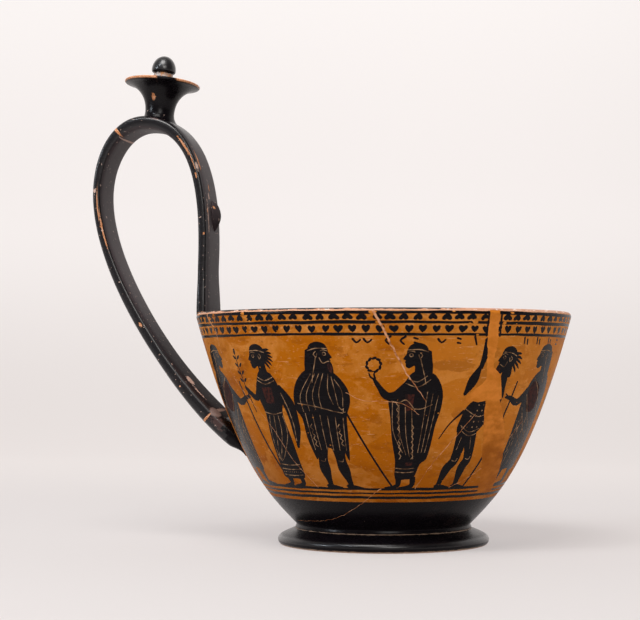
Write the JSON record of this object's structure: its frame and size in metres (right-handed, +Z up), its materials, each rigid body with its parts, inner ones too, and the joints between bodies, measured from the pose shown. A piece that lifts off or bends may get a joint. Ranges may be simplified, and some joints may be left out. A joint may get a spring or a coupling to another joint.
{
  "type": "kyathos",
  "caption": "Deep footed dipping cup of fired clay with a tall looped strap handle, a pointed boss and a trumpet finial, painted round the wall.",
  "frame": {"origin": "on the bowl's axis, level with the surface that the foot stands on", "axes": "+Z up along the bowl's axis; the handle rises on the -X side, in the XZ plane"},
  "size_m": [0.2427, 0.1862, 0.2477],
  "materials": {
    "painted_clay": null
  },
  "bodies": {
    "root": {"kyathos": "painted_clay"}
  },
  "joints": []
}
